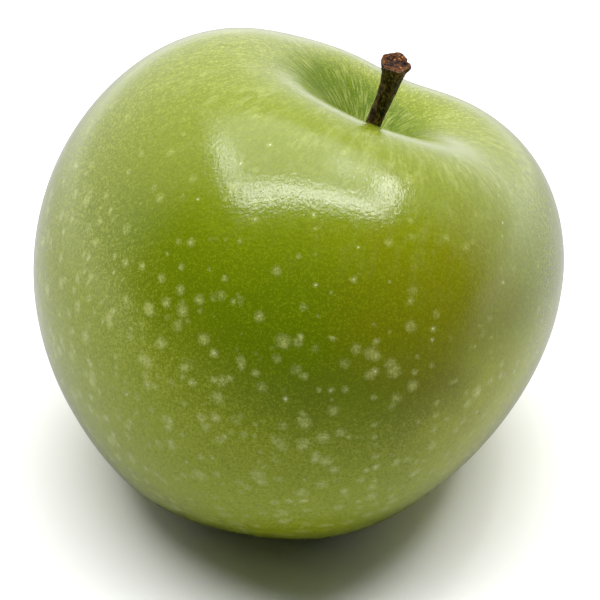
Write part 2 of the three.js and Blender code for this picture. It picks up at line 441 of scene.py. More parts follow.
def wire_of(tree, kind, inputs=(), output=0, **settings):
    return Wire(tree, add_node(tree, kind, inputs, **settings).outputs[output])


def calculate(operation, *values):
    tree = next(value.tree for value in values if isinstance(value, Wire))
    return wire_of(tree, "ShaderNodeMath", dict(enumerate(values)), operation=operation)


def sine(angle):
    return calculate("SINE", angle)


def cosine(angle):
    return calculate("COSINE", angle)


def power(base, exponent):
    return calculate("POWER", base, exponent)


def clamped(value, low, high):
    return calculate("MINIMUM", calculate("MAXIMUM", value, low), high)


def polar_angle(height):
    """The angle from the upright, from a height on the unit sphere."""
    return calculate("ARCCOSINE", clamped(height, -1.0, 1.0))


def bell(distance, width, steepness=2.0):
    """1 at no distance, falling off over the width."""
    share = calculate("ABSOLUTE", distance) / width
    return calculate("EXPONENT", -power(share, steepness))


def eased(value, start, end):
    """0 before start and 1 after end, with a smooth step between them."""
    ends = {"Value": value, "From Min": start, "From Max": end}
    return wire_of(value.tree, "ShaderNodeMapRange", ends, interpolation_type="SMOOTHSTEP")


def join(tree, x, y, z):
    return wire_of(tree, "ShaderNodeCombineXYZ", {"X": x, "Y": y, "Z": z})


def split(vector):
    parted = add_node(vector.tree, "ShaderNodeSeparateXYZ", {"Vector": vector})
    return [Wire(vector.tree, output) for output in parted.outputs]


def vector_sum(a, b):
    return wire_of(a.tree, "ShaderNodeVectorMath", {0: a, 1: b}, operation="ADD")


def scaled(vector, factor):
    return wire_of(vector.tree, "ShaderNodeVectorMath", {0: vector, "Scale": factor}, operation="SCALE")


def cross(tree, a, b):
    return wire_of(tree, "ShaderNodeVectorMath", {0: a, 1: b}, operation="CROSS_PRODUCT")


def unit(vector):
    return wire_of(vector.tree, "ShaderNodeVectorMath", {0: vector}, operation="NORMALIZE")


def noise(place, octaves=2.0, roughness=0.5, output="Fac"):
    """Noise whose features are one unit of its place wide."""
    inputs = {"Vector": place, "Scale": 1.0, "Detail": octaves, "Roughness": roughness}
    return wire_of(place.tree, "ShaderNodeTexNoise", inputs, output=output)


def pattern(place, size, octaves, roughness):
    """Noise whose features have a real size."""
    return noise(scaled(place, 1.0 / size), octaves, roughness)


def waver(place, size, octaves, roughness):
    """A vector that changes over the place, with each part from about -0.5 to 0.5."""
    changing = noise(scaled(place, 1.0 / size), octaves, roughness, output="Color")
    return vector_sum(changing, Vector((-0.5, -0.5, -0.5)))


def new_modelling_tree(name, sizes):
    """A geometry tree with one named input for each size, and a wire for each of them."""
    tree = bpy.data.node_groups.new(name, "GeometryNodeTree")
    tree.interface.new_socket("Geometry", in_out="INPUT", socket_type="NodeSocketGeometry")
    tree.interface.new_socket("Geometry", in_out="OUTPUT", socket_type="NodeSocketGeometry")
    for size, value in sizes.items():
        kind = "NodeSocketVector" if isinstance(value, Vector) else "NodeSocketFloat"
        tree.interface.new_socket(size, in_out="INPUT", socket_type=kind)
    entry = tree.nodes.new("NodeGroupInput")
    wires = {size: Wire(tree, entry.outputs[size]) for size in sizes}
    return tree, wires


def finish_modelling_tree(tree, geometry, material):
    """Every tree ends in real, smooth geometry with its material."""
    real = realized(geometry)
    smooth = wire_of(tree, "GeometryNodeSetShadeSmooth", {"Geometry": real, "Shade Smooth": True})
    finished = wire_of(tree, "GeometryNodeSetMaterial", {"Geometry": smooth, "Material": material})
    exit_node = tree.nodes.new("NodeGroupOutput")
    tree.links.new(finished.socket, exit_node.inputs[0])


def modelled(name, tree, sizes, node):
    """Runs a geometry tree with its sizes, and keeps the result as a plain mesh that rides on the part."""
    carrier = bpy.data.objects.new(name + "_tree", bpy.data.meshes.new(name + "_seed"))
    bpy.context.scene.collection.objects.link(carrier)
    modifier = carrier.modifiers.new("Model", "NODES")
    modifier.node_group = tree
    for item in tree.interface.items_tree:
        if item.in_out == "INPUT" and item.name in sizes:
            modifier[item.identifier] = sizes[item.name]
    bpy.context.view_layer.update()
    evaluated = carrier.evaluated_get(bpy.context.evaluated_depsgraph_get())
    mesh = bpy.data.meshes.new_from_object(evaluated)
    mesh.name = name
    bpy.data.objects.remove(carrier)
    piece = bpy.data.objects.new(name, mesh)
    bpy.context.scene.collection.objects.link(piece)
    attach(piece, "root")
    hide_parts(node)


def position(tree):
    return wire_of(tree, "GeometryNodeInputPosition")


def ball(tree, sides, rings):
    shape = {"Segments": sides, "Rings": rings, "Radius": 1.0}
    return wire_of(tree, "GeometryNodeMeshUVSphere", shape, "Mesh")


def moved_to(geometry, place):
    return wire_of(geometry.tree, "GeometryNodeSetPosition", {"Geometry": geometry, "Position": place})


def marked(geometry, value):
    """Keeps a value at each point, for the piece's material."""
    return wire_of(
        geometry.tree,
        "GeometryNodeStoreNamedAttribute",
        {"Geometry": geometry, "Name": GROWN, "Value": value},
        data_type="FLOAT_VECTOR",
        domain="POINT",
    )


def realized(geometry):
    return wire_of(geometry.tree, "GeometryNodeRealizeInstances", {"Geometry": geometry})


def together(tree, parts):
    joined = add_node(tree, "GeometryNodeJoinGeometry")
    for part in parts:
        tree.links.new(part.socket, joined.inputs["Geometry"])
    return Wire(tree, joined.outputs["Geometry"])


def random_vector(tree, least, most, seed):
    span = {"Min": least, "Max": most, "Seed": seed}
    return wire_of(tree, "FunctionNodeRandomValue", span, data_type="FLOAT_VECTOR")


def swelling(share, longitude, towards, crests=1.0):
    """A regular swelling round the core, with its first crest at the longitude that it goes towards."""
    return share * cosine(crests * (longitude - towards))


def skin_distance(size, longitude, colatitude):
    """How far the skin is from the core."""
    across = sine(colatitude)
    along = cosine(colatitude)
    from_calyx = math.pi - colatitude
    profile = 1.0 + size["Shoulder fullness"] * along - size["Waist fullness"] * cosine(2.0 * colatitude)
    cavity = 1.0 - size["Cavity depth"] * bell(colatitude, size["Cavity reach"], size["Cavity steepness"])
    basin = 1.0 - size["Basin depth"] * bell(from_calyx, size["Basin reach"])
    shoulder_ribs = size["Shoulder ribs"] * bell(
        colatitude - size["Shoulder ribs from pole"], size["Shoulder ribs spread"]
    )
    crown_lobes = size["Crown lobes"] * bell(
        from_calyx - size["Crown lobes from pole"], size["Crown lobes spread"]
    )
    sides = (
        1.0
        + across * swelling(size["Full side"], longitude, size["Full side longitude"])
        + across * along * swelling(size["High shoulder"], longitude, size["High shoulder longitude"])
        + across * across * swelling(size["Oval waist"], longitude, size["Oval waist longitude"], OVAL_ENDS)
        + across * across * swelling(size["Three cheeks"], longitude, size["Three cheeks longitude"], CHEEKS)
        + across * swelling(shoulder_ribs + crown_lobes, longitude, size["Ribs longitude"], CARPELS)
    )
    from_saddle = longitude - size["Saddle longitude"]
    around = calculate("ARCTAN2", sine(from_saddle), cosine(from_saddle))
    down = colatitude - size["Saddle colatitude"]
    dip = bell(around, size["Saddle width"]) * bell(down, size["Saddle height"])
    return size["Mean radius"] * profile * cavity * basin * sides * (1.0 - size["Saddle"] * dip)


def grown(size, x, y, z):
    """Bends an upright place by an even curve along the fruit's height, leans it, and sets it on the core."""
    radius = size["Mean radius"]
    curvature = size["Bend"] / (size["Bend height"] * radius)
    base = size["Bend from level"] * radius
    turn = curvature * (z - base)
    turned_sine = sine(turn)
    turned_cosine = cosine(turn)
    east = cosine(size["Bend longitude"])
    north = sine(size["Bend longitude"])
    inward = x * east + y * north
    sideways = y * east - x * north
    bent_inward = (1.0 - turned_cosine) / curvature + inward * turned_cosine
    height = base + turned_sine / curvature - inward * turned_sine
    bent_x = bent_inward * east - sideways * north
    bent_y = bent_inward * north + sideways * east
    lean_cosine = cosine(size["Lean"])
    lean_sine = sine(size["Lean"])
    leaned_x = bent_x * lean_cosine + height * lean_sine
    leaned_z = height * lean_cosine - bent_x * lean_sine
    return vector_sum(join(x.tree, leaned_x, bent_y, leaned_z), CORE)


def make_skin(material):
    """The fruit's fine skin: a sphere drawn out by the same rule as its solid."""
    tree, size = new_modelling_tree("Fruit", FRUIT)
    x, y, z = split(position(tree))
    even = polar_angle(z)
    colatitude = even - RING_CROWDING / 2 * sine(2.0 * even)
    longitude = calculate("ARCTAN2", y, x)
    across = sine(colatitude)
    direction = join(tree, across * cosine(longitude), across * sine(longitude), cosine(colatitude))
    sphere = marked(ball(tree, FRUIT_SIDES, FRUIT_RINGS), direction)
    ripple = noise(scaled(direction, 1.0 / size["Undulation size"]), *UNDULATION_NOISE) - 0.5
    reach = skin_distance(size, longitude, colatitude) * (1.0 + size["Undulation"] * ripple)
    shaped = moved_to(sphere, grown(size, *split(scaled(direction, reach))))
    seated = seat_in_box(shaped, size["Rest flattening"], *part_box("fruit"))
    finish_modelling_tree(tree, seated, material)
    modelled("apple_skin", tree, FRUIT, "fruit")


def seat_in_box(geometry, flattening, low, high):
    """Fits the fine skin into its solid's box, and flattens the crown lobes where it rests."""
    tree = geometry.tree
    bounds = add_node(tree, "GeometryNodeBoundBox", {"Geometry": geometry})
    lowest = split(Wire(tree, bounds.outputs["Min"]))
    highest = split(Wire(tree, bounds.outputs["Max"]))
    place = split(position(tree))
    fitted = []
    for axis in (0, 1):
        share = (place[axis] - lowest[axis]) / (highest[axis] - lowest[axis])
        fitted.append(low[axis] + share * (high[axis] - low[axis]))
    rest = lowest[2] + flattening
    height = (place[2] - rest) / (highest[2] - rest) * high[2]
    fitted.append(calculate("MAXIMUM", height, low[2]))
    return moved_to(geometry, join(tree, *fitted))


def make_stalk(material):
    """The stalk: a ball drawn out into a barky rod with a flared end and a torn scar."""
    tree, size = new_modelling_tree("Stalk", STALK)
    x, y, z = split(position(tree))
    ring = polar_angle(z) / math.pi
    longitude = calculate("ARCTAN2", y, x)
    on_scar = clamped(ring / SCAR_SHARE_OF_RINGS, 0.0, 1.0)
    share = 1.0 - clamped((ring - SCAR_SHARE_OF_RINGS) / (1.0 - SCAR_SHARE_OF_RINGS), 0.0, 1.0)
    inside = 1.0 - power(on_scar, size["Scar edge"])
    bark = stalk_waves(size, longitude, share, "Bark waves", BARK_NOISE)
    knobs = stalk_waves(size, longitude, share, "Knobs", KNOBS_NOISE)
    relief = size["Bark relief"] * bark + size["Knobs relief"] * knobs
    closing = power(on_scar, size["Scar dome"]) * eased(ring, 1.0, size["Root closing"])
    aside = (stalk_thickness(size, longitude, share) + relief) * closing
    crumbs_round = on_scar * size["Scar crumbs round"]
    torn_place = join(tree, x * crumbs_round, y * crumbs_round, on_scar * size["Scar crumbs inwards"])
    torn = noise(torn_place, *SCAR_NOISE) - 0.5
    dish = size["Scar dish"] * (1.0 - on_scar * size["Scar dish rise"])
    lift = inside * (size["Scar relief"] * torn - dish)
    middle, along = stalk_line(tree, size, share)
    rightwards = unit(cross(tree, (0.0, 1.0, 0.0), along))
    forwards = cross(tree, along, rightwards)
    place = vector_sum(middle, scaled(rightwards, aside * cosine(longitude)))
    place = vector_sum(place, scaled(forwards, aside * sine(longitude)))
    place = vector_sum(place, scaled(along, lift))
    surface = bark + (torn - bark) * inside
    rod = marked(ball(tree, STALK_SIDES, STALK_RINGS), join(tree, on_scar, surface, 0.0))
    finish_modelling_tree(tree, moved_to(rod, vector_sum(place, CORE)), material)
    modelled("apple_stalk", tree, STALK, "stem")


def stalk_waves(size, longitude, share, name, waves):
    """Noise wrapped round the stalk, from about -0.5 to 0.5."""
    around = size[name + " round"]
    along = size[name + " along"]
    wrapped = join(share.tree, cosine(longitude) * around, sine(longitude) * around, share * along)
    return noise(wrapped, *waves) - 0.5


def stalk_thickness(size, longitude, share):
    """The stalk's radius under its bark: it flares to a ridged rim with a torn spur and a notch."""
    flare = size["Flare"] * power(share, size["Flare power"])
    rim = size["Rim"] * bell(share - size["Rim share"], size["Rim width"])
    ridges = 1.0 + size["Ridges"] * share * cosine(size["Ridge count"] * longitude)
    spur = size["Spur"] * bell(longitude - size["Spur longitude"], size["Spur width"])
    notch = size["Notch"] * bell(longitude - size["Notch longitude"], size["Notch width"])
    torn_rim = (spur - notch) * bell(share - 1.0, size["Rim width"])
    return (size["Root radius"] + size["Taper"] * share + flare + rim) * ridges + torn_rim


def stalk_line(tree, size, share):
    """The place and the direction of the stalk's middle line at a share of its length."""
    line = wire_of(
        tree,
        "GeometryNodeCurvePrimitiveBezierSegment",
        {
            "Resolution": STALK_LINE_STEPS,
            "Start": size["Root"],
            "Start Handle": size["Root handle"],
            "End Handle": size["Tip handle"],
            "End": size["Tip"],
        },
        mode="POSITION",
    )
    sampled = add_node(
        tree, "GeometryNodeSampleCurve", {"Curves": line, "Factor": share}, mode="FACTOR", use_all_curves=True
    )
    return Wire(tree, sampled.outputs["Position"]), Wire(tree, sampled.outputs["Tangent"])


def make_calyx(material):
    """The dried flower in the basin: five folded sepals and a brush of stamens over a small cup."""
    tree, size = new_modelling_tree("Calyx", CALYX)
    sepals = ring_of(sepal_blade(tree, size), SEPALS, 0.0, SEPAL_TILT, SEEDS["sepals"])
    stamens = ring_of(stamen_stalk(tree, size), STAMENS, size["Stamen ring"], STAMEN_TILT, SEEDS["stamens"])
    real = realized(together(tree, (sepals, stamens, calyx_cup(tree, size))))
    offset = scaled(waver(position(tree), size["Crumple size"], *CRUMPLE_NOISE), size["Crumple"])
    crumpled = wire_of(tree, "GeometryNodeSetPosition", {"Geometry": real, "Offset": offset})
    woolly = marked(with_wool(crumpled, size), position(tree))
    x, y, z = split(position(tree))
    set_in_basin = moved_to(woolly, grown(size, x, y, z - size["Pole"]))
    finish_modelling_tree(tree, set_in_basin, material)
    modelled("apple_calyx", tree, CALYX, "calyx")


def ring_of(shape, count, radius, tilt, seed):
    """Copies of a shape round the basin's axis, each turned to face outwards and tilted a little."""
    tree = shape.tree
    angle = wire_of(tree, "GeometryNodeInputIndex") * (math.tau / count)
    spot = join(tree, cosine(angle) * radius, sine(angle) * radius, 0.0)
    points = wire_of(tree, "GeometryNodePoints", {"Count": count, "Position": spot})
    lean = random_vector(tree, (-tilt,) * 3, (tilt,) * 3, seed)
    turn = vector_sum(lean, join(tree, 0.0, 0.0, angle))
    copies = {"Points": points, "Instance": shape, "Rotation": turn}
    return wire_of(tree, "GeometryNodeInstanceOnPoints", copies)


def sepal_blade(tree, size):
    """One sepal: a thin block drawn along its line, narrowing to its tip and cupped inwards."""
    block = wire_of(tree, "GeometryNodeMeshCube", {"Size": (1.0, 1.0, 1.0), **SEPAL_VERTICES}, "Mesh")
    through, across, upwards = split(position(tree))
    share = upwards + 0.5
    rest = 1.0 - share
    weights = (
        rest * rest * rest,
        3.0 * rest * rest * share,
        3.0 * rest * share * share,
        share * share * share,
    )
    line = join(tree, 0.0, 0.0, 0.0)
    for name, weight in zip(("Foot", "Foot handle", "Tip handle", "Tip"), weights):
        line = vector_sum(line, scaled(size[name], weight))
    reach, _, height = split(line)
    width = size["Tip width"] + (size["Sepal width"] - size["Tip width"]) * (1.0 - share * share)
    inset = size["Cupping"] * power(2.0 * across, 2.0) * rest
    thinner_tip = 1.0 - size["Thinner tip"] * share * share
    thinner_edges = 1.0 - size["Thinner edges"] * across * across
    thickness = size["Sepal thickness"] * thinner_tip * thinner_edges
    return moved_to(block, join(tree, reach - inset + through * thickness, across * width, -height))


def stamen_stalk(tree, size):
    """One dried stamen: a thread with a small knob at its end, growing outwards from the cup."""
    shape = {"Radius": 1.0, "Depth": 1.0, **STAMEN_VERTICES}
    thread = wire_of(tree, "GeometryNodeMeshCylinder", shape, "Mesh")
    x, y, z = split(position(tree))
    share = 0.5 - z
    knob = size["Knob"] * bell(share - size["Knob place"], size["Knob width"])
    radius = size["Stamen radius"] * (size["Thread"] + knob)
    return moved_to(thread, join(tree, x * radius, y * radius, -share * size["Stamen height"]))


def calyx_cup(tree, size):
    """The cup: a flattened ball with a hollow outward side."""
    x, y, z = split(position(tree))
    outward = clamped(-z, 0.0, 1.0)
    rim = size["Cup rim"] * bell(outward - size["Cup rim place"], size["Cup rim width"])
    foot = size["Cup foot"] * clamped(z, 0.0, 1.0)
    place = join(tree, x * size["Cup radius"], y * size["Cup radius"], foot - rim)
    return moved_to(ball(tree, CUP_SIDES, CUP_RINGS), place)


def with_wool(geometry, size):
    """Short pale hairs standing on every dried surface, bent outwards from the basin."""
    tree = geometry.tree
    spread = add_node(
        tree, "GeometryNodeDistributePointsOnFaces",
        {"Mesh": geometry, "Density": size["Hairs per square metre"], "Seed": SEEDS["hairs"]},
    )
    normal = Wire(tree, spread.outputs["Normal"])
    lean = random_vector(tree, *HAIR_LEAN, SEEDS["hair lean"])
    turn = wire_of(tree, "FunctionNodeAlignRotationToVector", {"Vector": vector_sum(normal, lean)}, axis="Z")
    hair = wire_of(
        tree,
        "GeometryNodeMeshCone",
        {
            "Vertices": HAIR_SIDES,
            "Side Segments": 1,
            "Radius Top": size["Hair point radius"],
            "Radius Bottom": size["Hair foot radius"],
            "Depth": size["Hair length"],
        },
        "Mesh",
    )
    copies = {
        "Points": Wire(tree, spread.outputs["Points"]),
        "Instance": hair,
        "Rotation": turn,
        "Scale": random_vector(tree, *HAIR_SCALE, SEEDS["hair length"]),
    }
    return together(tree, (geometry, realized(wire_of(tree, "GeometryNodeInstanceOnPoints", copies))))


def new_material(name):
    material = bpy.data.materials.new(name)
    material.use_nodes = True
    material.node_tree.nodes.clear()
    return material, material.node_tree


def finish_material(tree, inputs):
    shader = add_node(tree, "ShaderNodeBsdfPrincipled", inputs)
    surface = add_node(tree, "ShaderNodeOutputMaterial")
    tree.links.new(shader.outputs["BSDF"], surface.inputs["Surface"])


def new_effect(name, inputs, outputs):
    """A shader node group with named inputs and outputs, and a wire for each input."""
    tree = bpy.data.node_groups.new(name, "ShaderNodeTree")
    for label, value in inputs.items():
        kind = "NodeSocketVector" if value is None else "NodeSocketFloat"
        socket = tree.interface.new_socket(label, in_out="INPUT", socket_type=kind)
        if value is not None:
            socket.default_value = value
    for label in outputs:
        tree.interface.new_socket(label, in_out="OUTPUT", socket_type="NodeSocketFloat")
    entry = tree.nodes.new("NodeGroupInput")
    return tree, {label: Wire(tree, entry.outputs[label]) for label in inputs}


def finish_effect(tree, results):
    exit_node = tree.nodes.new("NodeGroupOutput")
    for label, wire in results.items():
        tree.links.new(wire.socket, exit_node.inputs[label])
    return tree


def use_effect(tree, effect, inputs):
    placed = add_node(tree, "ShaderNodeGroup", inputs, node_tree=effect)
    return {output.name: Wire(tree, output) for output in placed.outputs}


def spots_effect():
    """Round spots scattered in space: their halo, their centre and a random number for each."""
    tree, given = new_effect(
        "Spots",
        {
            "Place": None,
            "Spacing": 3.0 * MM,
            "Irregularity": 0.8,
            "Radius": 1.0 * MM,
            "Smallest": 0.65,
            "Size range": 0.7,
            "Soft from": 0.1,
            "Centre": 0.08 * MM,
            "Centre edge": 0.208 * MM,
            "Share": 0.5,
            "Waver": 0.6 * MM,
            "Waver size": 0.8 * MM,
            "Waver octaves": 3.0,
            "Waver roughness": 0.6,
        },
        ["Halo", "Dot", "Chance"],
    )
    wavering = waver(given["Place"], given["Waver size"], given["Waver octaves"], given["Waver roughness"])
    place = vector_sum(given["Place"], scaled(wavering, given["Waver"]))
    spaced = scaled(place, 1.0 / given["Spacing"])
    cells = add_node(
        tree, "ShaderNodeTexVoronoi", {"Vector": spaced, "Scale": 1.0, "Randomness": given["Irregularity"]}
    )
    distance = Wire(tree, cells.outputs["Distance"]) * given["Spacing"]
    kept, size, chance = split(Wire(tree, cells.outputs["Color"]))
    there = calculate("LESS_THAN", kept, given["Share"])
    radius = given["Radius"] * (given["Smallest"] + given["Size range"] * size)
    halo = eased(distance, radius, radius * given["Soft from"]) * there
    dot = eased(distance, given["Centre edge"], given["Centre"]) * there
    return finish_effect(tree, {"Halo": halo, "Dot": dot, "Chance": chance})


def grain_effect():
    """A fine, uneven grain: its height from 0 to 1."""
    tree, given = new_effect(
        "Grain",
        {
            "Place": None,
            "Size": 0.3 * MM,
            "Coarser": 0.4,
            "Coarse share": 0.35,
            "Octaves": 3.0,
            "Roughness": 0.7,
        },
        ["Height"],
    )
    coarse = noise(scaled(given["Place"], given["Coarser"] / given["Size"]))
    fine = pattern(given["Place"], given["Size"], given["Octaves"], given["Roughness"])
    return finish_effect(tree, {"Height": fine + (coarse - fine) * given["Coarse share"]})


def mix_colours(share, low, high):
    """From the low colour to the high one as the share goes from 0 to 1."""
    inputs = {MIX_SHARE: share, MIX_LOW: low, MIX_HIGH: high}
    return wire_of(
        share.tree, "ShaderNodeMix", inputs, output=MIX_RESULT, data_type="RGBA", clamp_factor=True
    )


def bump(height, depth, strength=1.0):
    return wire_of(height.tree, "ShaderNodeBump", {"Height": height, "Distance": depth, "Strength": strength})


def turned_from(place, towards):
    """How far a place is turned from a direction, seen from the core: 0 there and 1 a quarter turn away."""
    from_core = wire_of(place.tree, "ShaderNodeVectorMath", {0: place, 1: CORE}, operation="SUBTRACT")
    level = wire_of(
        place.tree, "ShaderNodeVectorMath", {0: unit(from_core), 1: towards}, output="Value",
        operation="DOT_PRODUCT",
    )
    return calculate("ARCCOSINE", level) / (math.pi / 2)


def object_place(tree):
    return wire_of(tree, "ShaderNodeTexCoord", output="Object")


def grown_place(tree):
    return wire_of(tree, "ShaderNodeAttribute", output="Vector", attribute_name=GROWN)


def skin_places(tree):
    """Where a point of the skin lies, in the ways that the skin's patterns follow."""
    place = object_place(tree)
    x, y, z = split(grown_place(tree))
    colatitude = polar_angle(z)
    ring = calculate("MAXIMUM", calculate("SQRT", 1.0 - z * z), SMALLEST_RING)
    around_x = x / ring
    around_y = y / ring
    mottle = pattern(place, *MOTTLE) - 0.5
    return SimpleNamespace(
        tree=tree,
        place=place,
        y=y,
        colatitude=colatitude,
        around_x=around_x,
        around_y=around_y,
        mottle=mottle,
        from_front=turned_from(place, FRONT),
        low=eased(colatitude, *LOW_HALF),
        waist=eased(colatitude, *WAIST),
        shoulder=eased(colatitude, *SHOULDER),
        cavity=eased(colatitude + CAVITY_LEAN * around_x, *CAVITY),
        olive=OLIVE_SHARE * eased(turned_from(place, SUNNY) + MOTTLED_EDGE * mottle, *OLIVE_PATCH),
        right=eased(x + MOTTLED_EDGE * mottle, *RIGHT_SIDE),
    )


def meridian_noise(at, around, along, octaves, roughness):
    """Noise drawn out down the meridians, by how often it changes around and along the skin."""
    place = join(at.tree, at.around_x * around, at.around_y * around, at.colatitude * along)
    return noise(place, octaves, roughness)


def ground_colour(at):
    """The skin's ground: deepest green in front and in the cavity, partly painted shade; paler below, partly
    painted light; with an olive patch, and painted light on the lower right side.
    """
    # Paler below: partly the skin's own colour, partly painted light from the table below
    colour = mix_colours(at.waist, SHOULDER_GREEN, WAIST_GREEN_AND_PAINTED_LIGHT)
    fade = (
        DEEP_PATCH_FADES["mottle"] * at.mottle
        + DEEP_PATCH_FADES["waist"] * at.waist
        + DEEP_PATCH_FADES["upper"] * eased(at.colatitude, *UPPER)
    )
    # Partly painted shade: the skin facing the viewer is painted deepest green
    colour = mix_colours(eased(at.from_front + fade, *DEEP_PATCH), colour, DEEP_GREEN_AND_PAINTED_SHADE)
    colour = mix_colours(at.olive, colour, WARM_OLIVE)
    # Painted light: the lower right of the viewer's half is painted paler, as if lit more brightly
    painted_light_side = at.right * eased(at.colatitude, *BELOW_SHOULDER) * eased(at.y, *FRONT_HALF)
    colour = mix_colours(painted_light_side * PAINTED_LIGHT_SIDE_SHARE, colour, PAINTED_LIGHT_SIDE)
    # Partly painted shade: the hollow round the stalk is painted darker, further down on its left wall
    return mix_colours(at.cavity, colour, CAVITY_GREEN_AND_PAINTED_SHADE)


def add_streaks(at, colour):
    streaks = eased(meridian_noise(at, **STREAKS), *STREAK_EDGE)
    patches = eased(pattern(at.place, *STREAK_PATCHES), *STREAK_PATCH_EDGE)
    patched = STREAK_LEAST + (1.0 - STREAK_LEAST) * patches
    share = patched * STREAK_SHARE * at.shoulder * (1.0 + STREAKS_ADDED_IN_CAVITY * at.cavity)
    return mix_colours(streaks * share, colour, PALE_STREAK)


def skin_grain(at, grain):
    """The height of the skin's grain, from 0 to 1."""
    speckle = use_effect(at.tree, grain, {"Place": at.place, "Size": GRAIN_SIZE})["Height"]
    strokes = meridian_noise(at, **STROKES)
    share = STROKE_SHARE * at.shoulder * (1.0 - STROKES_LOST_IN_CAVITY * at.cavity)
    return speckle + (strokes - speckle) * share


def add_flecks(at, height, colour):
    """Pale flecks on the high grain and deep ones on the low, chalkier away from the greenest patch."""
    chalky = eased(at.from_front + at.waist, *CHALKY) * (1.0 - at.cavity)
    chalky = chalky * (1.0 - CHALK_LOST_IN_OLIVE * at.olive)
    pale = mix_colours(chalky, PALE_GRAIN, CHALKY_GRAIN)
    pale_share = PALE_FLECK_SHARE - PALE_FLECKS_LOST_AT_WAIST * at.waist
    colour = mix_colours(eased(height, *PALE_FLECKS) * pale_share, colour, pale)
    return mix_colours(eased(height, *DEEP_FLECKS) * DEEP_FLECK_SHARE, colour, DEEP_GRAIN)


def add_lenticels(at, spots, height, colour):
    """Pale halos, some with a pale or a brown dot, bigger and denser on the lower half."""
    share = (
        LENTICEL_SHARES["upper"] * eased(at.colatitude, *LENTICELS_BEGIN)
        + LENTICEL_SHARES["lower"] * at.low
        + LENTICEL_SHARES["right shoulder"] * at.right * at.shoulder
    )
    clots = HALO_STRENGTH["smooth"] + HALO_STRENGTH["clotted"] * eased(height, *LENTICEL_CLOTS)
    strength = clots * (HALO_STRENGTH_ON_TOP + (1.0 - HALO_STRENGTH_ON_TOP) * at.low)
    growth = LENTICEL_SIZE_ON_TOP + (1.0 - LENTICEL_SIZE_ON_TOP) * at.low
    brown_chance = BROWN_DOTS["everywhere"] + BROWN_DOTS["right"] * at.right
    for number, (spacing, radius) in enumerate(LENTICEL_LAYERS):
        moved = vector_sum(at.place, LAYER_SHIFT * number)
        spread = {"Place": moved, "Spacing": spacing, "Radius": radius * growth, "Share": share}
        layer = use_effect(at.tree, spots, spread)
        colour = mix_colours(layer["Halo"] * strength, colour, LENTICEL_HALO)
        brown = calculate("LESS_THAN", layer["Chance"], brown_chance)
        from_half = calculate("ABSOLUTE", layer["Chance"] - 0.5)
        dotted = calculate("GREATER_THAN", from_half, DOTLESS_NEAR_HALF)
        dots = mix_colours(brown, LENTICEL_PALE, LENTICEL_BROWN)
        colour = mix_colours(layer["Dot"] * dotted * DOT_SHARE, colour, dots)
    return colour


def skin_material(spots, grain):
    """Waxed green skin: mottled, streaked along its meridians, and spotted with lenticels."""
    material, tree = new_material("waxed_green_skin")
    at = skin_places(tree)
    height = skin_grain(at, grain)
    colour = add_streaks(at, ground_colour(at))
    colour = add_flecks(at, height, colour)
    colour = add_lenticels(at, spots, height, colour)
    pebbles = pattern(at.place, *PEBBLES) + FINE_PEBBLE_SHARE * pattern(at.place, *FINE_PEBBLES)
    pebbled = bump(pebbles, PEBBLE_DEPTH)
    roughness = SKIN_ROUGHNESS["even"] + SKIN_ROUGHNESS["grain"] * (height - 0.5)
    finish_material(
        tree,
        {
            "Base Color": colour,
            "Roughness": roughness + SKIN_ROUGHNESS["cavity"] * at.cavity,
            "IOR": 1.25,
            "Coat Weight": WAX["even"] - WAX["lost in cavity"] * at.cavity,
            "Coat Roughness": 0.03,
            "Coat IOR": 1.4,
            "Normal": pebbled,
            "Coat Normal": pebbled,
        },
    )
    return material


def bark_colour(place, surface, height, fibres):
    """Near-black crevices, partly painted shade in the bark's grooves, and brown ridges with olive spots and
    pale fibres.
    """
    ridge = eased(surface + (fibres - 0.5) * FIBRE_ON_RIDGE, *RIDGE_EDGE)
    # Near-black in the grooves: partly painted shade
    colour = mix_colours(ridge, BARK_CREVICE_AND_SHADE, BARK_RIDGE)
    olive = eased(pattern(place, *OLIVE_SPOTS), *OLIVE_SPOTS_EDGE)
    colour = mix_colours(olive * OLIVE_SPOTS_SHARE, colour, BARK_OLIVE)
    pale = eased(height + (fibres - 0.5), *PALE_FIBRES)
    return mix_colours(pale * PALE_FIBRES_SHARE, colour, BARK_FIBRE)


def scar_colour(place, surface):
    """Reddish torn wood with near-black holes, partly painted shade in the scar's pits, and orange flecks."""
    crumbs = pattern(place, *SCAR_CRUMBS) - 0.5
    raised = eased(surface * SCAR_SURFACE_SHARE + crumbs, *SCAR_HOLE_AND_SHADE_EDGE)
    # Near-black in the pits: partly painted shade
    colour = mix_colours(raised, SCAR_HOLE_AND_SHADE, SCAR_WOOD)
    flecks = eased(pattern(place, *SCAR_FLECKS), *SCAR_FLECKS_EDGE)
    return mix_colours(flecks * SCAR_FLECKS_SHARE * raised, colour, SCAR_FLECK)


def stalk_material(grain):
    """Dry brown bark with olive patches, and a reddish torn scar on the end."""
    material, tree = new_material("dry_stalk_bark")
    place = object_place(tree)
    on_scar, surface, _ = split(grown_place(tree))
    height = use_effect(tree, grain, {"Place": place, "Size": BARK_GRAIN_SIZE})["Height"]
    x, y, z = split(place)
    fibres = noise(join(tree, x / FIBRE_WIDTH, y / FIBRE_WIDTH, z / FIBRE_LENGTH), *FIBRE_NOISE)
    bark = bark_colour(place, surface, height, fibres)
    finish_material(
        tree,
        {
            "Base Color": mix_colours(eased(on_scar, *ON_SCAR), bark, scar_colour(place, surface)),
            "Roughness": BARK_ROUGHNESS["even"] + BARK_ROUGHNESS["grain"] * (height - 0.5),
            "IOR": 1.45,
            "Specular IOR Level": 0.25,
            "Normal": bump(height + fibres, BARK_DEPTH),
        },
    )
    return material


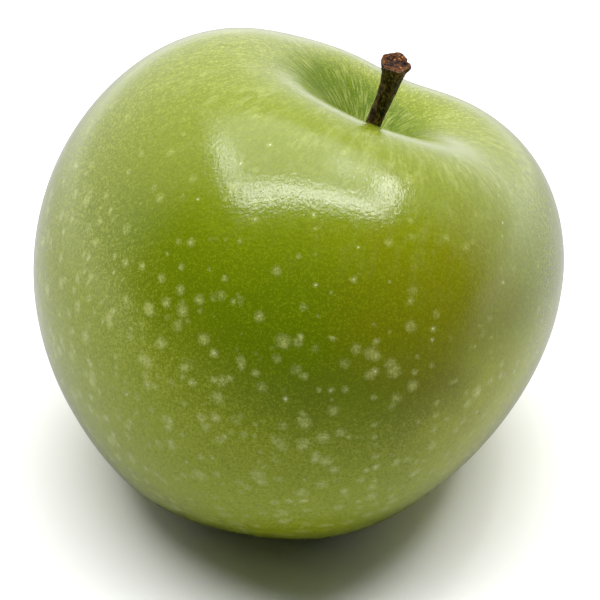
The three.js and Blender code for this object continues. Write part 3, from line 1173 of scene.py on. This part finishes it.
def calyx_material(grain):
    """Dry brown sepals with grey wool."""
    material, tree = new_material("dry_calyx")
    place = grown_place(tree)
    height = use_effect(tree, grain, {"Place": place, "Size": SEPAL_GRAIN_SIZE})["Height"]
    patches = eased(pattern(place, *SEPAL_PATCHES), *SEPAL_PATCHES_EDGE)
    colour = mix_colours(patches, SEPAL_DARK, SEPAL_BROWN)
    colour = mix_colours(eased(height, *WOOL_EDGE) * WOOL_SHARE, colour, SEPAL_WOOL)
    normal = bump(height, SEPAL_DEPTH, SEPAL_BUMP_STRENGTH)
    finish_material(tree, {"Base Color": colour, "Roughness": 0.85, "IOR": 1.45, "Normal": normal})
    return material


def make_camera():
    """A long lens at the photograph's angle, aimed at the core."""
    camera = bpy.data.objects.new("camera", bpy.data.cameras.new("camera"))
    bpy.context.scene.collection.objects.link(camera)
    camera.data.sensor_width = SENSOR
    camera.data.lens = FOCAL_PIXELS * SENSOR / PICTURE_PIXELS
    camera.data.clip_start = NEAREST_SEEN
    away = Vector((0.0, -math.cos(CAMERA_ELEVATION), math.sin(CAMERA_ELEVATION)))
    camera.location = CORE + away * CAMERA_DISTANCE
    camera.rotation_euler = (math.pi / 2 - CAMERA_ELEVATION, 0.0, 0.0)
    bpy.context.scene.camera = camera


def add_panel(name, hang, place, size, turn, radiance):
    """A flat lamp overhead."""
    rise = PANEL_HEIGHT - cad_high.z
    lamp = bpy.data.objects.new(name, bpy.data.lights.new(name, "AREA"))
    bpy.context.scene.collection.objects.link(lamp)
    lamp.data.shape = "RECTANGLE"
    lamp.data.size = size[0] * rise
    lamp.data.size_y = size[1] * rise
    lamp.data.energy = radiance * math.pi * lamp.data.size * lamp.data.size_y
    lamp.location = (place[0] * rise, place[1] * rise, PANEL_HEIGHT - hang)
    lamp.rotation_euler.z = math.radians(turn)
    lamp.visible_camera = False


def light_box():
    """Each lamp hangs a little below the one before, so that no two lie in one plane."""
    for number, (name, lamp) in enumerate(LAMPS.items()):
        add_panel(name, number * LAMP_STEP, **lamp)


def surroundings():
    """A dark room with a pale wall behind the apple. The viewer itself sees plain white."""
    world = bpy.data.worlds.new("light_tent")
    world.use_nodes = True
    bpy.context.scene.world = world
    tree = world.node_tree
    tree.nodes.clear()
    _, y, _ = split(wire_of(tree, "ShaderNodeTexCoord", output="Generated"))
    radiance = DARK_RADIANCE + (ROOM_RADIANCE - DARK_RADIANCE) * eased(y, *BEHIND_APPLE)
    seen = wire_of(tree, "ShaderNodeLightPath", output="Is Camera Ray")
    strength = radiance * (1.0 - seen) + SEEN_RADIANCE * seen
    background = add_node(tree, "ShaderNodeBackground", {"Color": WHITE, "Strength": strength})
    output = add_node(tree, "ShaderNodeOutputWorld")
    tree.links.new(background.outputs["Background"], output.inputs["Surface"])


def make_floor():
    """A plain white table top."""
    mesh = bpy.data.meshes.new("floor")
    reach = TABLE_REACH
    corners = [(-reach, -reach, 0.0), (reach, -reach, 0.0), (reach, reach, 0.0), (-reach, reach, 0.0)]
    mesh.from_pydata(corners, [], [(0, 1, 2, 3)])
    mesh.materials.append(table_material())
    floor = bpy.data.objects.new("floor", mesh)
    bpy.context.scene.collection.objects.link(floor)


def table_material():
    material, tree = new_material("white_table")
    x, y, _ = split(object_place(tree))
    # What the wax mirrors: a painted shadow near the apple, and painted shade on the viewer's side
    away = calculate("SQRT", x * x + y * y)
    mirrored = mix_colours(eased(away, *TABLE_SPREAD), TABLE_MIRRORED_SHADOW_NEAR, TABLE_MIRRORED_WIDE)
    mirrored = mix_colours(eased(y, *TABLE_FADE), TABLE_MIRRORED_SHADE_IN_FRONT, mirrored)
    rays = add_node(tree, "ShaderNodeLightPath")
    colour = mix_colours(Wire(tree, rays.outputs["Is Glossy Ray"]), TABLE_WHITE, mirrored)
    colour = mix_colours(Wire(tree, rays.outputs["Is Camera Ray"]), colour, TABLE_AS_SEEN)
    finish_material(tree, {"Base Color": colour, "Roughness": 0.6, "Specular IOR Level": 0.1})
    return material


spots = spots_effect()
grain = grain_effect()
make_skin(skin_material(spots, grain))
make_stalk(stalk_material(grain))
make_calyx(calyx_material(grain))
make_camera()
light_box()
surroundings()
make_floor()

scene = bpy.context.scene
scene.view_settings.view_transform = "Standard"
scene.view_settings.look = "None"
